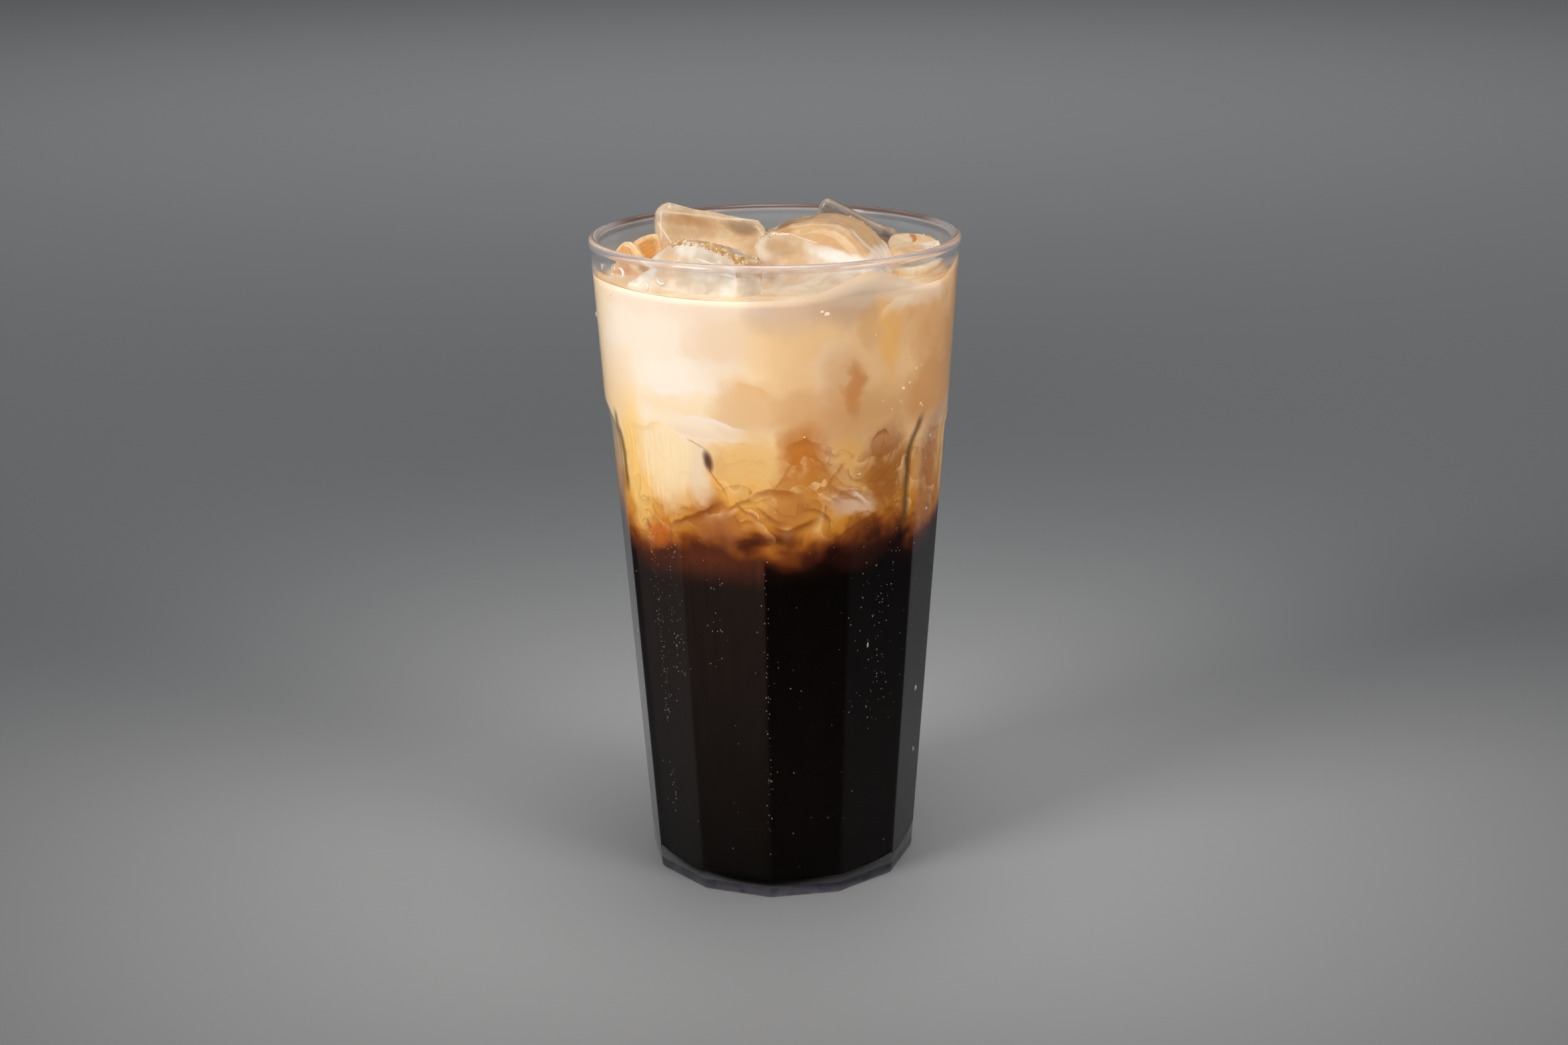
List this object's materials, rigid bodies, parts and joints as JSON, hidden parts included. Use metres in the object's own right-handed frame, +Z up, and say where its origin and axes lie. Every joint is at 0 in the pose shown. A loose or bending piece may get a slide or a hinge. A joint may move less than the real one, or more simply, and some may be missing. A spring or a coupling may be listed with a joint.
{
  "type": "thai iced coffee",
  "caption": "Tall clear panelled tumbler of layered iced coffee: dark coffee below, amber swirls, milk on top, and half-moon ice above the drink.",
  "frame": {"origin": "middle of the tumbler's base, on the surface that it stands on", "axes": "+Z up the tumbler's axis, -Y towards the viewer of the picture, +X to that viewer's right"},
  "size_m": [0.0886, 0.0886, 0.1628],
  "materials": {
    "clear_tumbler": "clear, glossy, with twelve flat panels and fine drops on it",
    "dark_coffee": "nearly black coffee, wet and opaque",
    "amber_swirls": "amber and brown swirls of coffee sinking through milk",
    "milky_coffee": "cream to tan milky coffee, wet and opaque",
    "ice": "wet ice, milky and stained by the drink",
    "clear_ice": "wet clear ice",
    "amber_ice": "thin wet ice stained amber"
  },
  "bodies": {
    "root": {"tumbler": "clear_tumbler", "coffee_layer": "dark_coffee", "swirl_layer": "amber_swirls", "milk_layer": "milky_coffee", "ice_back_left": "ice", "ice_front_left": "ice", "ice_centre": "ice", "ice_back_right": "clear_ice", "ice_right": "ice", "ice_shard_front": "amber_ice", "ice_shard_back": "amber_ice"}
  },
  "joints": []
}
